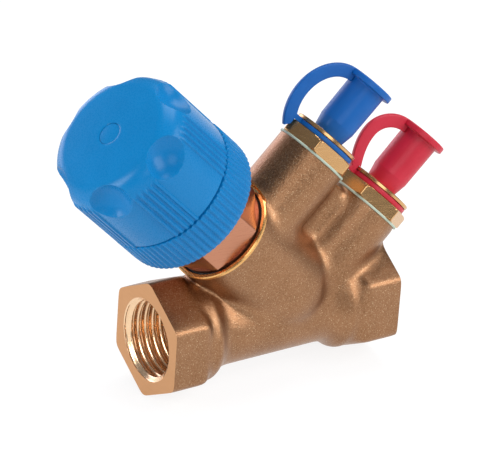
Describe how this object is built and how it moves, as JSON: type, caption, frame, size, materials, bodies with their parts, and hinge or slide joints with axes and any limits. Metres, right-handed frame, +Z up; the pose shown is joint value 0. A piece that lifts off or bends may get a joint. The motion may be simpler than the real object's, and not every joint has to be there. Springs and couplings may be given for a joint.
{
  "type": "manual balancing valve",
  "caption": "Y-pattern manual balancing valve with female pipe threads, a presettable handwheel and two self-sealing test ports with captive caps.",
  "frame": {"origin": "centre of the outlet end face, on the pipe axis", "axes": "+X along the pipe axis from the outlet to the inlet, +Z up in the plane of the spindle and the test ports, which the handwheel leans to the outlet side of, +Y to the back"},
  "size_m": [0.1059, 0.0362, 0.0838],
  "materials": {
    "cast_brass": "sand-cast bronze, fine grain",
    "machined_brass": "turned, satin",
    "port_brass": "turned, satin",
    "spring_steel": "plain",
    "wheel_plastic": "moulded, semi-gloss",
    "blue_cap_plastic": "moulded, satin",
    "red_cap_plastic": "moulded, satin",
    "pale_seal": "pressed fibre",
    "black_rubber": "moulded"
  },
  "bodies": {
    "valve": {"valve_body": "cast_brass", "bonnet": "machined_brass", "bonnet_seal": "black_rubber", "blue_port_body": "port_brass", "blue_port_seal": "pale_seal", "blue_port_core": "black_rubber", "blue_port_retainer": "port_brass", "red_port_body": "port_brass", "red_port_seal": "pale_seal", "red_port_core": "black_rubber", "red_port_retainer": "port_brass"},
    "handwheel": {"spindle": "machined_brass", "spindle_clip": "spring_steel", "spindle_seals": "black_rubber", "preset_stop_screw": "spring_steel", "handwheel_ring": "wheel_plastic", "handwheel_grip": "wheel_plastic", "handwheel_screw": "spring_steel", "handwheel_cover": "wheel_plastic"},
    "plug": {"valve_plug": "machined_brass", "plug_seal": "black_rubber", "regulating_cone": "machined_brass"},
    "blue_tether": {"blue_tether_ring": "blue_cap_plastic", "blue_strap": "blue_cap_plastic"},
    "blue_plug_cap": {"blue_cap": "blue_cap_plastic"},
    "red_tether": {"red_tether_ring": "red_cap_plastic", "red_strap": "red_cap_plastic"},
    "red_plug_cap": {"red_cap": "red_cap_plastic"}
  },
  "joints": [
    {"name": "handwheel_turn", "type": "hinge", "parent": "valve", "child": "handwheel", "pos_m": [0.0446, 0, 0], "axis": [-0.7071, 0, 0.7071], "range_deg": [0, 1080]},
    {"name": "plug_lift", "type": "slide", "parent": "valve", "child": "plug", "axis": [-0.7071, 0, 0.7071], "range_m": [0, 0.0045]},
    {"name": "blue_tether_turn", "type": "hinge", "parent": "valve", "child": "blue_tether", "pos_m": [0.02431, 0, 0.02029], "axis": [0.7071, 0, 0.7071], "range_deg": [-90, 90]},
    {"name": "blue_cap_pull", "type": "slide", "parent": "blue_tether", "child": "blue_plug_cap", "axis": [0.7071, 0, 0.7071], "range_m": [0, 0.006], "deforming": ["blue_strap"]},
    {"name": "red_tether_turn", "type": "hinge", "parent": "valve", "child": "red_tether", "pos_m": [0.04156, 0, 0.00304], "axis": [0.7071, 0, 0.7071], "range_deg": [-90, 90]},
    {"name": "red_cap_pull", "type": "slide", "parent": "red_tether", "child": "red_plug_cap", "axis": [0.7071, 0, 0.7071], "range_m": [0, 0.006], "deforming": ["red_strap"]}
  ],
  "couplings": [
    {"joint": "handwheel_turn", "follows": "plug_lift", "rad_per_m": 4188.8}
  ]
}
